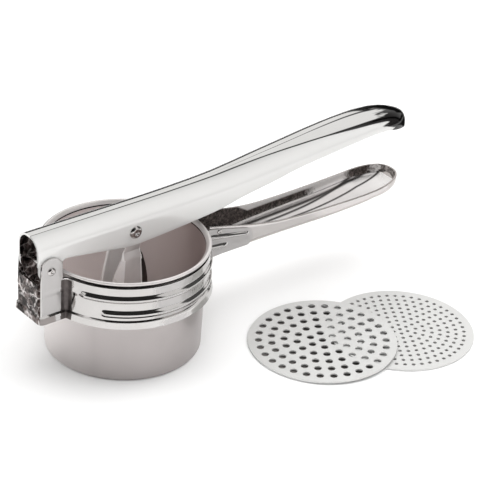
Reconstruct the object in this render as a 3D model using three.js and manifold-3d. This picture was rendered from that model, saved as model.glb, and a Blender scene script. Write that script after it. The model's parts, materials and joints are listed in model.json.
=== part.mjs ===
// Potato ricer: a press cup held in a sheet-metal strap, an upper lever that drives a hinged
// plunger into the cup, a lower handle, and two loose sieve discs lying beside it.
// Millimetres, +Z up, +X along the handles.

import * as THREE from 'three';
import { mergeVertices } from 'three/addons/utils/BufferGeometryUtils.js';
import Module from 'manifold-3d';

const wasm = await Module();
wasm.setup();

// ---------------------------------------------------------------- driving dimensions
const SHEET = 1.2;              // gauge of the strap, the lever, the handle and the plunger
const GAP = 0.3;                // running and assembly clearance between neighbouring pieces
const ROUND_STEPS = 52;         // facets round the cup and the strap

const CUP = {
  baseRadius: 42.4, wallTopRadius: 44.0, rimRadius: 46.0, height: 61.5,
  wall: 1.0, rimDepth: 3.0, ledgeRadius: 37.5, ledge: 1.2,
};

const STRAP = {
  innerRadius: CUP.wallTopRadius + GAP, bottom: 34.6, top: 57.9,
  lip: 2.2, lipHeight: 4.2, ribDepth: 1.4, ribWidth: 1.6, lowRib: 42.6, highRib: 51.3,
};

const PIVOT = { x: -53.3, z: 64.2, shaft: 1.6, head: 2.3 };
const EAR = { inner: 9.6, outer: 9.6 + SHEET, radius: 7.5, joinX: -43.5, notchTop: 57.0 };
const END_WALL_X = PIVOT.x - EAR.radius;

const TAB = {
  inner: 11.6, outer: 11.6 + SHEET, startX: 43.0, endX: 76.5, bottom: 41.2, ribZ: 50.2, ribSlope: 0.245,
};
const HANDLE_RIVET = { x: 53.5, z: 56.0, shaft: 1.0, head: 1.7 };
const HANDLE = { startX: 47.8, tipX: 190.5, bend: 4.0 };
const LEVER = { startX: -60.4, tipX: 193.5, bend: 8.4, half: EAR.inner - GAP, lug: 6.6 };

const PIN = { x: 0, z: 70.4, shaft: 2.2, head: 3.7 };
const PLATE = { radius: 37.3, bottom: 5.5, rim: 3.0 };
const YOKE = { outer: LEVER.half - SHEET - GAP, base: PLATE.bottom + SHEET + GAP, eye: 4.4 };
const PLATE_RIVET = { x: 9.0, shaft: 1.8, head: 3.2 };

const DISC = { radius: 41.0, thickness: 0.9, steps: 60 };
const FINE = { x: 132.2, y: -78.5, rings: 8, pitch: 4.45, holeRadius: 1.05, holeSides: 4 };
const COARSE = { x: 87.8, y: -64.4, rings: 5, pitch: 7.0, holeRadius: 2.05, holeSides: 6 };

// ---------------------------------------------------------------- materials
function steel(color, roughness) {
  return new THREE.MeshStandardMaterial({ color, roughness, metalness: 1.0 });
}
const CHROME = steel(0xdad8d5, 0.12);
const SATIN = steel(0xb9b3b0, 0.34);
const PRESSED = steel(0xc4beba, 0.24);
const RIVET = steel(0xcfcbc8, 0.2);
const SIEVE = steel(0xd8d7d5, 0.3);

// ---------------------------------------------------------------- solids
// A closed three.js geometry becomes a solid whose faces point outwards.
function solid(geometry) {
  geometry.deleteAttribute('normal');
  geometry.deleteAttribute('uv');
  const merged = mergeVertices(geometry, 1e-4);
  const points = merged.attributes.position.array;
  const index = merged.index.array;
  const triangles = [];
  let volume = 0;
  const corner = [new THREE.Vector3(), new THREE.Vector3(), new THREE.Vector3()];
  for (let i = 0; i < index.length; i += 3) {
    const [a, b, c] = [index[i], index[i + 1], index[i + 2]];
    if (a === b || b === c || c === a) continue;
    triangles.push(a, b, c);
    corner.forEach((vector, k) => vector.fromArray(points, 3 * index[i + k]));
    volume += corner[0].dot(corner[1].cross(corner[2]));
  }
  if (volume < 0) triangles.reverse();
  return new wasm.Manifold(new wasm.Mesh({
    numProp: 3,
    vertProperties: new Float32Array(points),
    triVerts: new Uint32Array(triangles),
  }));
}

function join(...pieces) {
  return pieces.reduce((whole, piece) => whole.add(piece));
}

function cut(body, ...tools) {
  return tools.reduce((rest, tool) => rest.subtract(tool), body);
}

function piece(name, body, material) {
  const mesh = body.getMesh();
  const geometry = new THREE.BufferGeometry();
  geometry.setAttribute('position', new THREE.BufferAttribute(mesh.vertProperties, 3));
  geometry.setIndex(new THREE.BufferAttribute(mesh.triVerts, 1));
  geometry.computeVertexNormals();
  const node = new THREE.Mesh(geometry, material);
  node.name = name;
  return node;
}

function outlineShape(points) {
  return new THREE.Shape(points.map(([u, v]) => new THREE.Vector2(u, v)));
}

// An X-Z shape given thickness along Y.
function slabY(shape, yLow, yHigh) {
  const geometry = new THREE.ExtrudeGeometry(shape, {
    depth: yHigh - yLow, bevelEnabled: false, curveSegments: 12,
  });
  return solid(geometry.rotateX(Math.PI / 2).translate(0, yHigh, 0));
}

// An X-Y shape given thickness along Z.
function slabZ(shape, zLow, zHigh) {
  const geometry = new THREE.ExtrudeGeometry(shape, { depth: zHigh - zLow, bevelEnabled: false });
  return solid(geometry.translate(0, 0, zLow));
}

function block(xLow, xHigh, yLow, yHigh, zLow, zHigh) {
  const geometry = new THREE.BoxGeometry(xHigh - xLow, yHigh - yLow, zHigh - zLow);
  return solid(geometry.translate((xLow + xHigh) / 2, (yLow + yHigh) / 2, (zLow + zHigh) / 2));
}

function rodY(radius, yLow, yHigh, x, z, steps = 20) {
  const geometry = new THREE.CylinderGeometry(radius, radius, yHigh - yLow, steps);
  return solid(geometry.translate(x, (yLow + yHigh) / 2, z));
}

// A closed profile of [radius, height] points turned round the vertical axis.
function turned(profile, steps) {
  const points = profile.map(([r, z]) => new THREE.Vector2(r, z));
  return solid(new THREE.LatheGeometry(points, steps).rotateX(Math.PI / 2));
}

// The closed outline of a sheet of the given gauge that follows an open line.
function sheetOutline(line, gauge) {
  const vectors = line.map(([u, v]) => new THREE.Vector2(u, v));
  const sides = [[], []];
  vectors.forEach((point, i) => {
    const before = point.clone().sub(vectors[Math.max(i - 1, 0)]).normalize();
    const after = vectors[Math.min(i + 1, vectors.length - 1)].clone().sub(point).normalize();
    const along = before.add(after).normalize();
    const cosine = i === 0 || i === vectors.length - 1 ? 1 : along.dot(after);
    const half = gauge / 2 / cosine;
    sides[0].push([point.x - along.y * half, point.y + along.x * half]);
    sides[1].unshift([point.x + along.y * half, point.y - along.x * half]);
  });
  return [...sides[0], ...sides[1]];
}

// A body through a row of sections: each has the same number of corners as the base outline.
function loft(base, sections) {
  const steps = sections.length - 1;
  const geometry = new THREE.ExtrudeGeometry(outlineShape(base), {
    depth: steps, steps, bevelEnabled: false,
  });
  const position = geometry.attributes.position;
  for (let i = 0; i < position.count; i += 1) {
    const u = position.getX(i);
    const v = position.getY(i);
    const corner = base.findIndex(([a, b]) => Math.hypot(a - u, b - v) < 1e-4);
    position.setXYZ(i, ...sections[Math.round(position.getZ(i))][corner]);
  }
  return solid(geometry);
}

// A rivet along Y: a plain shaft, as long each way from its middle as half, with two domed heads.
function rivetY({ x, z, shaft, head }, half, middle = 0) {
  const dome = head * 0.42;
  const side = [[shaft, half], [head, half], [head * 0.72, half + dome * 0.7], [0, half + dome]];
  const lower = [...side].reverse().map(([r, y]) => [r, -y]);
  const points = [...lower, ...side].map(([r, y]) => new THREE.Vector2(r, y));
  return solid(new THREE.LatheGeometry(points, 14).translate(x, middle, z));
}

// ---------------------------------------------------------------- pressed channels
// Corners of a rounded channel section: two open edges and an arch between them.
const ARCH_ANGLES = [90, 62, 34, 2, -2, -34, -62, -90].map(THREE.MathUtils.degToRad);
const CHANNEL_BASE = [[1, -1], ...ARCH_ANGLES.map((a) => [Math.sin(a), Math.cos(a)]), [-1, -1]];

// side is +1 where the arch is on top and -1 where it is the floor.
function channelSection({ x, half, crown, edge }, bend, side) {
  const radius = Math.min(bend, half * 0.92, Math.abs(crown - edge) * 0.9);
  return CHANNEL_BASE.map(([u, v]) => [
    x,
    v < 0 ? Math.sign(u) * half : u * radius + Math.sign(u) * (half - radius),
    v < -0.5 ? edge : crown - side * radius * (1 - v),
  ]);
}

// The rows of a channel that ends in a closed, rounded tip; inset makes its inner skin.
function channelRows(rows, tip, inset, side) {
  const open = side * inset * 6;
  const body = rows.map(([x, half, crown, edge], i) => ({
    x: i === 0 ? x - inset : x,
    half: half - inset,
    crown: crown - side * inset,
    edge: edge - open,
  }));
  const [startX, startHalf, startCrown, startEdge] = rows[rows.length - 1];
  const end = [28, 52, 70, 82].map(THREE.MathUtils.degToRad).map((angle) => ({
    x: startX + (tip.x - inset - startX) * Math.sin(angle),
    half: (startHalf - inset) * Math.cos(angle) ** 0.8,
    crown: startCrown - side * (inset + tip.drop * (1 - Math.cos(angle))),
    edge: startEdge - open + tip.curl * Math.sin(angle),
  }));
  return [...body, ...end];
}

function channel(rows, tip, bend, side) {
  const skin = (inset) => channelRows(rows, tip, inset, side)
    .map((row) => channelSection(row, bend - inset, side));
  return cut(loft(CHANNEL_BASE, skin(0)), loft(CHANNEL_BASE, skin(SHEET)));
}

// ---------------------------------------------------------------- fixed frame
function pressCup() {
  const { baseRadius, wallTopRadius, rimRadius, height, wall, rimDepth, ledgeRadius, ledge } = CUP;
  const rimBottom = height - rimDepth;
  return turned([
    [ledgeRadius, 0], [baseRadius - 1.0, 0], [baseRadius, 1.0], [wallTopRadius, rimBottom],
    [rimRadius, rimBottom + 0.8], [rimRadius, height - 0.9], [rimRadius - 1.0, height],
    [wallTopRadius - 0.2, height], [wallTopRadius - wall, height - 1.0],
    [baseRadius - wall, ledge], [ledgeRadius, ledge], [ledgeRadius, 0],
  ], ROUND_STEPS);
}

// The strap's section: two outward ribs, a flared foot and a slight lip under the rim.
function strapRing() {
  const { innerRadius, bottom, top, lip, lipHeight, ribDepth, ribWidth, lowRib, highRib } = STRAP;
  const middle = innerRadius + SHEET / 2;
  const rib = (z) => [
    [middle, z - ribWidth], [middle + ribDepth, z - ribWidth / 2],
    [middle + ribDepth, z + ribWidth / 2], [middle, z + ribWidth],
  ];
  const outline = sheetOutline([
    [middle + lip, bottom + 0.5], [middle, bottom + lipHeight],
    ...rib(lowRib), ...rib(highRib), [middle, top],
  ], SHEET);
  return turned([...outline, outline[0]], ROUND_STEPS);
}

function strapEars() {
  const { inner, outer, radius, joinX, notchTop } = EAR;
  const corners = [
    [joinX, -outer], [END_WALL_X, -outer], [END_WALL_X, outer], [joinX, outer],
    [joinX, inner], [END_WALL_X + SHEET, inner], [END_WALL_X + SHEET, -inner], [joinX, -inner],
  ];
  const wallBottom = STRAP.bottom + STRAP.lipHeight;
  const side = new THREE.Shape();
  side.moveTo(joinX, wallBottom);
  side.lineTo(joinX, STRAP.top);
  side.lineTo(PIVOT.x + radius, STRAP.top);
  side.lineTo(PIVOT.x + radius, PIVOT.z);
  side.absarc(PIVOT.x, PIVOT.z, radius, 0, Math.PI, false);
  side.lineTo(END_WALL_X, wallBottom);
  const upright = slabZ(outlineShape(corners), wallBottom - 1, PIVOT.z + radius + 1)
    .intersect(slabY(side, -outer - 1, outer + 1));
  const skirt = loft(corners, [[STRAP.bottom, STRAP.lip], [wallBottom, 0]].map(([z, out]) => (
    corners.map(([x, y]) => [x < joinX ? x - out : x, y + Math.sign(y) * out, z])
  )));
  const notch = block(END_WALL_X - 1, END_WALL_X + SHEET + 1, -inner, inner, notchTop, PIVOT.z + radius);
  return cut(join(upright, skirt), notch);
}

function strapTab(side) {
  const { inner, outer, startX, endX } = TAB;
  const shape = outlineShape([
    [startX, TAB.bottom], [endX - 5, 40.8], [endX - 1.5, 42.2], [endX, 45.5],
    [endX, 49.5], [endX - 1.5, 51.6], [48.5, 58.4], [startX + 3.8, STRAP.top], [startX, STRAP.top],
  ]);
  const rib = new THREE.CylinderGeometry(1.3, 1.3, endX - startX - 4.5, 8);
  rib.rotateZ(Math.PI / 2).rotateY(TAB.ribSlope).translate((startX + endX) / 2, outer - 0.2, TAB.ribZ);
  const ribbed = join(slabY(shape, inner, outer), solid(rib));
  const clear = block(startX - 1, endX + 1, inner - 4, inner, 30, 70);
  const tab = cut(ribbed, clear);
  return side > 0 ? tab : tab.mirror([0, 1, 0]);
}

function holderStrap() {
  const far = 80;
  const ring = cut(
    strapRing(),
    block(-far, 0, -EAR.inner, EAR.inner, 0, far),
    block(0, far, -TAB.inner, TAB.inner, 0, far),
  );
  const whole = join(ring, strapEars(), strapTab(1), strapTab(-1));
  return cut(
    whole,
    rodY(PIVOT.shaft + GAP, -far, far, PIVOT.x, PIVOT.z),
    rodY(HANDLE_RIVET.shaft + GAP, -far, far, HANDLE_RIVET.x, HANDLE_RIVET.z, 12),
  );
}

function lowerHandle() {
  const rows = [
    [HANDLE.startX, 11.3, 37.6, 59.6], [62, 11.3, 38.6, 56.2], [78, 11.6, 39.5, 52.4],
    [94, 12.3, 40.1, 49.8], [114, 13.1, 40.5, 48.7], [134, 13.8, 40.8, 48.4], [156, 14.4, 41.9, 48.6],
    [166, 14.4, 42.9, 49.0],
  ];
  const body = channel(rows, { x: HANDLE.tipX, drop: 3.6, curl: 2.2 }, HANDLE.bend, -1);
  return cut(body, rodY(HANDLE_RIVET.shaft + GAP, -20, 20, HANDLE_RIVET.x, HANDLE_RIVET.z, 12));
}

// ---------------------------------------------------------------- moving lever and plunger
function upperLever() {
  const rows = [
    [LEVER.startX, 9.3, 83.0, 69.4], [-46, 9.3, 83.1, 68.7], [-24, 9.3, 83.2, 65.5],
    [-4, 9.3, 83.3, 62.6], [4, 9.3, 83.3, 62.6], [28, 9.4, 83.6, 64.3], [56, 10.0, 84.4, 67.7],
    [72, 10.5, 85.7, 71.4], [90, 11.0, 87.6, 74.6], [110, 11.6, 89.6, 78.6], [130, 12.1, 91.6, 81.2],
    [148, 12.5, 92.9, 83.4], [162, 12.5, 93.2, 84.6], [172, 12.2, 92.6, 84.6],
  ];
  const body = channel(rows, { x: LEVER.tipX, drop: 6.6, curl: -4.4 }, LEVER.bend, 1);
  const lug = new THREE.Shape();
  lug.moveTo(PIVOT.x - LEVER.lug, 71);
  lug.lineTo(PIVOT.x - LEVER.lug, PIVOT.z);
  lug.absarc(PIVOT.x, PIVOT.z, LEVER.lug, Math.PI, 2 * Math.PI, false);
  lug.lineTo(PIVOT.x + LEVER.lug, 71);
  const inner = LEVER.half - SHEET;
  const reach = 40;
  return cut(
    join(body, slabY(lug, inner, LEVER.half), slabY(lug, -LEVER.half, -inner)),
    rodY(PIVOT.shaft + GAP, -reach, reach, PIVOT.x, PIVOT.z),
    rodY(PIN.shaft + GAP, -reach, reach, PIN.x, PIN.z),
  );
}

// One arm: a flat web with flanges that fold inwards and widen towards the plate.
function yokeArm(side) {
  const middle = YOKE.outer - SHEET / 2;
  const rows = [
    [YOKE.base, 7.0, 8.0], [24, 6.2, 7.0], [42, 5.2, 5.4],
    [55, 4.6, 1.6], [61, 4.3, 0.5], [PIN.z, 4.2, 0.4],
  ];
  const sections = rows.map(([z, web, flange]) => {
    const fold = middle - flange * 0.45;
    const line = [[-web - flange, fold], [-web, middle], [web, middle], [web + flange, fold]];
    return { z, outline: sheetOutline(line, SHEET) };
  });
  const body = loft(sections[0].outline, sections.map(({ z, outline }) => (
    outline.map(([x, y]) => [x, y, z])
  )));
  const arm = join(body, rodY(YOKE.eye, YOKE.outer - SHEET, YOKE.outer, PIN.x, PIN.z));
  return side > 0 ? arm : arm.mirror([0, 1, 0]);
}

function plungerYoke() {
  const arms = join(yokeArm(1), yokeArm(-1));
  const base = block(-14.6, 14.6, 0.8 - YOKE.outer, YOKE.outer - 0.8, YOKE.base, YOKE.base + SHEET);
  return cut(
    join(arms, base),
    rodY(PIN.shaft + GAP, -20, 20, PIN.x, PIN.z),
    ...[-1, 1].map((side) => plateRivetHole(side)),
  );
}

function plateRivetHole(side) {
  const radius = PLATE_RIVET.shaft + GAP;
  const geometry = new THREE.CylinderGeometry(radius, radius, 30, 14).rotateX(Math.PI / 2);
  return solid(geometry.translate(side * PLATE_RIVET.x, 0, PLATE.bottom));
}

function pressPlate() {
  const { radius, bottom, rim } = PLATE;
  const body = turned([
    [0, bottom], [radius - 0.8, bottom], [radius, bottom + 0.8], [radius, bottom + rim],
    [radius - SHEET, bottom + rim], [radius - SHEET, bottom + SHEET], [0, bottom + SHEET],
  ], 48);
  return cut(body, ...[-1, 1].map((side) => plateRivetHole(side)));
}

function plateRivet(side) {
  const { x, shaft, head } = PLATE_RIVET;
  const low = PLATE.bottom - GAP;
  const high = YOKE.base + SHEET + GAP;
  const points = [
    [0, low - 1.0], [head * 0.8, low - 0.8], [head, low], [shaft, low], [shaft, high], [head, high],
    [head * 0.8, high + 0.8], [0, high + 1.0],
  ].map(([r, z]) => new THREE.Vector2(r, z));
  return solid(new THREE.LatheGeometry(points, 14).rotateX(Math.PI / 2).translate(side * x, 0, 0));
}

// ---------------------------------------------------------------- sieve discs
// Each hole is a polygon with the same area as its round hole.
function sieveDisc({ rings, pitch, holeRadius, holeSides }) {
  const rim = new THREE.Path().absarc(0, 0, DISC.radius, 0, 2 * Math.PI);
  const shape = new THREE.Shape(rim.getPoints(DISC.steps));
  const turn = (2 * Math.PI) / holeSides;
  const reach = holeRadius * Math.sqrt(turn / Math.sin(turn));
  for (let ring = 0; ring <= rings; ring += 1) {
    const count = Math.max(6 * ring, 1);
    for (let i = 0; i < count; i += 1) {
      const angle = (2 * Math.PI * i) / count;
      const centre = new THREE.Vector2(Math.cos(angle), Math.sin(angle)).multiplyScalar(ring * pitch);
      const corners = Array.from({ length: holeSides }, (_, k) => (
        new THREE.Vector2(Math.cos(angle + k * turn), Math.sin(angle + k * turn))
          .multiplyScalar(reach).add(centre)
      ));
      shape.holes.push(new THREE.Path(corners));
    }
  }
  return slabZ(shape, 0, DISC.thickness);
}

// The coarse disc leans on the fine one: its far edge is on the ground.
function coarsePlacement(node) {
  const along = new THREE.Vector3(FINE.x - COARSE.x, FINE.y - COARSE.y, 0);
  const distance = along.length();
  const lift = Math.asin((DISC.thickness + GAP) / distance);
  const axis = along.normalize().cross(new THREE.Vector3(0, 0, 1));
  node.quaternion.setFromAxisAngle(axis, lift);
  node.position.set(COARSE.x, COARSE.y, DISC.radius * Math.sin(lift));
  return node;
}

// ---------------------------------------------------------------- assembly
const leverGroup = new THREE.Group();
leverGroup.add(
  piece('upper_lever', upperLever(), CHROME),
  piece('plunger_pin', rivetY(PIN, LEVER.half + GAP), RIVET),
);

const plungerGroup = new THREE.Group();
plungerGroup.add(
  piece('plunger_yoke', plungerYoke(), PRESSED),
  piece('press_plate', pressPlate(), PRESSED),
  piece('plate_rivet_left', plateRivet(-1), RIVET),
  piece('plate_rivet_right', plateRivet(1), RIVET),
);

const frameGroup = new THREE.Group();
frameGroup.add(
  piece('press_cup', pressCup(), SATIN),
  piece('holder_strap', holderStrap(), CHROME),
  piece('lower_handle', lowerHandle(), PRESSED),
  piece('pivot_rivet', rivetY(PIVOT, EAR.outer + GAP), RIVET),
);
for (const [side, name] of [[-1, 'near'], [1, 'far']]) {
  const half = (TAB.outer - TAB.inner + SHEET + 3 * GAP) / 2;
  const middle = side * (TAB.outer + GAP - half);
  frameGroup.add(piece(`handle_rivet_${name}`, rivetY(HANDLE_RIVET, half, middle), RIVET));
}

const fineDisc = piece('fine_sieve_disc', sieveDisc(FINE), SIEVE);
fineDisc.position.set(FINE.x, FINE.y, 0);
const coarseDisc = coarsePlacement(piece('coarse_sieve_disc', sieveDisc(COARSE), SIEVE));

const ricer = new THREE.Group();
ricer.add(frameGroup, leverGroup, plungerGroup, fineDisc, coarseDisc);

// The origin is the middle of the footprint of the whole set, on the surface it stands on.
const footprint = new THREE.Box3().setFromObject(ricer, true);
const middle = footprint.getCenter(new THREE.Vector3());
ricer.position.set(-middle.x, -middle.y, -footprint.min.z);

export default ricer;
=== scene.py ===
import json
import math

import bmesh
import bpy
from mathutils import Matrix, Vector, geometry


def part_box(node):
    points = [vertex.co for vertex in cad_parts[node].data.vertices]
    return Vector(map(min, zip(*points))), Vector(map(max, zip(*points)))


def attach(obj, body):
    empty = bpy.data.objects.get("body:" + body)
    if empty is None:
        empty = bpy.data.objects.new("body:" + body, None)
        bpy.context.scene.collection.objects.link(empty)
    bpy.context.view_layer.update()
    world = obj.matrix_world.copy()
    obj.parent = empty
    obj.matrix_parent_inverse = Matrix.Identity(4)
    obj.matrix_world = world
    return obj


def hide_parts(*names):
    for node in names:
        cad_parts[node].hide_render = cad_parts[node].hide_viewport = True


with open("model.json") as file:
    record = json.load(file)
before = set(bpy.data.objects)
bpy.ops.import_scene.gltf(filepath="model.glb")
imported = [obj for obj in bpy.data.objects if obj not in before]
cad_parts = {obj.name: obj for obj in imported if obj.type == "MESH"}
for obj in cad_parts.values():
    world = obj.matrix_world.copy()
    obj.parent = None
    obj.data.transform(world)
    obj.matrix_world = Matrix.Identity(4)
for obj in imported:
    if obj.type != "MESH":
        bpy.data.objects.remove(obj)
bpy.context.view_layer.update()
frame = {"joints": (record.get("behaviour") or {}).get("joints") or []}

# ------------------------------------------------------------------ places and sizes
# Shapes are worked out in millimetres round the cup's axis, with +X along the handles,
# and go into the frame in metres.
MM = 0.001
CUP_LOW, CUP_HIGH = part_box("press_cup")
AXIS = Vector(((CUP_LOW.x + CUP_HIGH.x) / 2, (CUP_LOW.y + CUP_HIGH.y) / 2, CUP_LOW.z))
JOINT_AT = {j["name"]: (Vector(j["pos_m"]) - AXIS) / MM for j in frame["joints"] if "pos_m" in j}
PIVOT = JOINT_AT["lever_swing"]
PIN = JOINT_AT["plunger_swing"]


def reach(node, axis, end):
    """How far a CAD node reaches along an axis from the cup's axis, in millimetres."""
    return ((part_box(node)[end] - AXIS) / MM)[axis]


SHEET = 1.2
CUP_HEIGHT = reach("press_cup", 2, 1)
RIM_RADIUS = reach("press_cup", 0, 1)
RIM_BEAD = 0.95
CUP_TOP_RADIUS = RIM_RADIUS - 2.0
CUP_BASE_RADIUS = CUP_TOP_RADIUS - 1.6
CUP_WALL = 1.0
LEDGE_RADIUS = CUP_BASE_RADIUS - 4.9

STRAP_RADIUS = CUP_TOP_RADIUS + 0.9      # middle of the sheet
STRAP_BOTTOM = reach("holder_strap", 2, 0)
STRAP_TOP = 57.9
EAR_Y = 10.2
EAR_RADIUS = PIVOT.x - reach("holder_strap", 0, 0) - 2.2
TAB_Y = 12.2
TAB_END = reach("holder_strap", 0, 1)

LEVER_HALF = 9.3
LEVER_START = reach("upper_lever", 0, 0)
LEVER_TIP = reach("upper_lever", 0, 1)
HANDLE_START = reach("lower_handle", 0, 0)
HANDLE_TIP = reach("lower_handle", 0, 1)

PLATE_RADIUS = reach("press_plate", 0, 1)
PLATE_BOTTOM = reach("press_plate", 2, 0)
YOKE_BASE = reach("plunger_yoke", 2, 0)

DISC_RADIUS = 41.0
DISC_THICKNESS = 0.9


def at(x, y, z):
    return AXIS + Vector((x, y, z)) * MM


# ------------------------------------------------------------------ curves and meshes
def smooth(rows, x):
    """The smooth curve through rows of (x, value), held level past its ends."""
    if x <= rows[0][0]:
        return rows[0][1]
    if x >= rows[-1][0]:
        return rows[-1][1]
    i = max(k for k in range(len(rows) - 1) if rows[k][0] <= x)
    slopes = []
    for k in (i, i + 1):
        low, high = max(k - 1, 0), min(k + 1, len(rows) - 1)
        slopes.append((rows[high][1] - rows[low][1]) / (rows[high][0] - rows[low][0]))
    span = rows[i + 1][0] - rows[i][0]
    t = (x - rows[i][0]) / span
    return (
        (1 + 2 * t) * (1 - t) ** 2 * rows[i][1] + t * (1 - t) ** 2 * span * slopes[0]
        + t * t * (3 - 2 * t) * rows[i + 1][1] + t * t * (t - 1) * span * slopes[1]
    )


def ramp(low, high, x):
    """0 below low, 1 above high, and a soft step between; low may be the larger."""
    t = min(max((x - low) / (high - low), 0.0), 1.0)
    return t * t * (3 - 2 * t)


def steps(low, high, count):
    return [low + (high - low) * i / count for i in range(count + 1)]


def add_object(name, data):
    obj = bpy.data.objects.new(name, data)
    bpy.context.scene.collection.objects.link(obj)
    return obj


def make_object(name, points, faces, sharp=38.0):
    """A shaded object from points in millimetres round the cup's axis."""
    mesh = bpy.data.meshes.new(name)
    mesh.from_pydata([at(*p) for p in points], [], faces)
    mesh.validate()
    mesh.shade_smooth()
    mesh.set_sharp_from_angle(angle=math.radians(sharp))
    return add_object(name, mesh)


def weld_and_orient(mesh, distance=0.004):
    """Welds points that coincide and turns every face outwards."""
    bm = bmesh.new()
    bm.from_mesh(mesh)
    bmesh.ops.remove_doubles(bm, verts=bm.verts, dist=distance * MM)
    bmesh.ops.dissolve_degenerate(bm, edges=bm.edges, dist=distance * MM)
    bmesh.ops.recalc_face_normals(bm, faces=bm.faces)
    bm.to_mesh(mesh)
    bm.free()
    mesh.shade_smooth()


def grid_faces(rows, columns, closed_rows=False, closed_columns=False):
    """Four-sided faces over a grid of points listed row by row."""
    faces = []
    for i in range(rows if closed_rows else rows - 1):
        for j in range(columns if closed_columns else columns - 1):
            a, b = i * columns, ((i + 1) % rows) * columns
            k = (j + 1) % columns
            faces.append((a + j, b + j, b + k, a + k))
    return faces


def turned(name, profile, segments, sharp=38.0):
    """A closed (radius, height) profile turned round the cup's axis."""
    points = []
    for i in range(segments):
        angle = 2 * math.pi * i / segments
        for r, z in profile:
            points.append((r * math.cos(angle), r * math.sin(angle), z))
    obj = make_object(name, points, grid_faces(segments, len(profile), True, True), sharp)
    weld_and_orient(obj.data)
    obj.data.set_sharp_from_angle(angle=math.radians(sharp))
    return obj


def thicken(obj, edge, sharp):
    """Gives a surface its sheet thickness and softened cut edges, as real mesh."""
    solid = obj.modifiers.new("gauge", "SOLIDIFY")
    solid.thickness = SHEET * MM
    solid.offset = 0.0
    solid.use_even_offset = True
    bevel = obj.modifiers.new("edge", "BEVEL")
    bevel.width = edge * MM
    bevel.segments = 2
    bevel.limit_method = "ANGLE"
    bevel.angle_limit = math.radians(60)
    bpy.context.view_layer.update()
    evaluated = obj.evaluated_get(bpy.context.evaluated_depsgraph_get())
    mesh = bpy.data.meshes.new_from_object(evaluated)
    obj.modifiers.clear()
    obj.data = mesh
    mesh.shade_smooth()
    mesh.set_sharp_from_angle(angle=math.radians(sharp))


# ------------------------------------------------------------------ materials
# Black seen only in reflections: the painted dark reflections on the lever, and the dark card behind the tips
REFLECTED_BLACK = (0.012, 0.011, 0.011)
EVEN = (1, 1, 1)                         # no stretch
ARM_END, GRIP_START = 60.0, 165.0        # along the lever
ARM_LINE, GRIP_LINE = -1.8, -9.4         # across it
RIGHT_X, RIGHT_Y = 0.766, -0.643         # to the right, as the camera sees the cup
CREASES = (                              # painted shade lines on the handle's floor: start, side, bend, half width
    (86.0, 6.2, 0.0006, 2.0),
    (98.0, 2.0, 0.0021, 1.5),
    (113.0, -2.1, 0.0016, 1.2),
)
GRAIN_SCALE = 900.0
SPECK_TONE = 0.72                        # of the light colour
LEANING_SHADE_TONE = 0.56                        # painted shade: of a side wall's colour, where it leans over
WALL_FROM, WALL_FULL = 0.955, 0.985      # how upright a side wall is
RELIEF = 0.0002


def node(tree, kind, **inputs):
    made = tree.nodes.new(kind)
    for key, value in inputs.items():
        made.inputs[key.replace("_", " ")].default_value = value
    return made


def noise(tree, coordinates, stretch, scale, detail=4.0, rough=0.55):
    mapping = tree.nodes.new("ShaderNodeMapping")
    mapping.inputs["Scale"].default_value = stretch
    tree.links.new(coordinates, mapping.inputs["Vector"])
    made = node(tree, "ShaderNodeTexNoise", Scale=scale, Detail=detail, Roughness=rough)
    tree.links.new(mapping.outputs["Vector"], made.inputs["Vector"])
    return made.outputs["Fac"]


def map_range(tree, value, from_low, from_high, to_low, to_high, interpolation="LINEAR"):
    made = tree.nodes.new("ShaderNodeMapRange")
    made.interpolation_type = interpolation
    ends = {"From Min": from_low, "From Max": from_high, "To Min": to_low, "To Max": to_high}
    for key, number in ends.items():
        made.inputs[key].default_value = number
    tree.links.new(value, made.inputs["Value"])
    return made.outputs["Result"]


def math_node(tree, operation, *values):
    made = tree.nodes.new("ShaderNodeMath")
    made.operation = operation
    for socket, value in zip(made.inputs, values):
        if isinstance(value, bpy.types.NodeSocket):
            tree.links.new(value, socket)
        else:
            socket.default_value = value
    return made.outputs[0]


def window(tree, value, low, high, soft):
    """1 between low and high, falling to 0 over soft beyond each."""
    middle, half = (low + high) / 2, (high - low) / 2
    away = math_node(tree, "ABSOLUTE", math_node(tree, "SUBTRACT", value, middle))
    return map_range(tree, away, half, half + soft, 1.0, 0.0)


def mix(tree, factor, low, high):
    """A colour between two, each a socket or a colour."""
    made = tree.nodes.new("ShaderNodeMix")
    made.data_type = "RGBA"
    tree.links.new(factor, made.inputs[0])
    for socket, value in ((made.inputs[6], low), (made.inputs[7], high)):
        if isinstance(value, bpy.types.NodeSocket):
            tree.links.new(value, socket)
        else:
            socket.default_value = (*value, 1.0)
    return made.outputs[2]


def place_parts(tree, coordinates):
    """Places along x, y and z from the cup's axis, in millimetres."""
    moved = tree.nodes.new("ShaderNodeVectorMath")
    moved.operation = "SUBTRACT"
    tree.links.new(coordinates, moved.inputs[0])
    moved.inputs[1].default_value = AXIS
    scaled = tree.nodes.new("ShaderNodeVectorMath")
    scaled.operation = "SCALE"
    tree.links.new(moved.outputs[0], scaled.inputs[0])
    scaled.inputs["Scale"].default_value = 1 / MM
    parts = tree.nodes.new("ShaderNodeSeparateXYZ")
    tree.links.new(scaled.outputs[0], parts.inputs["Vector"])
    return parts.outputs


def across_view(tree, coordinates):
    """Millimetres to the right of the cup's axis, as the cup is seen from its near side."""
    x, y, _ = place_parts(tree, coordinates)
    along_x = math_node(tree, "MULTIPLY", x, RIGHT_X)
    along_y = math_node(tree, "MULTIPLY", y, RIGHT_Y)
    return math_node(tree, "ADD", along_x, along_y)


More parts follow.
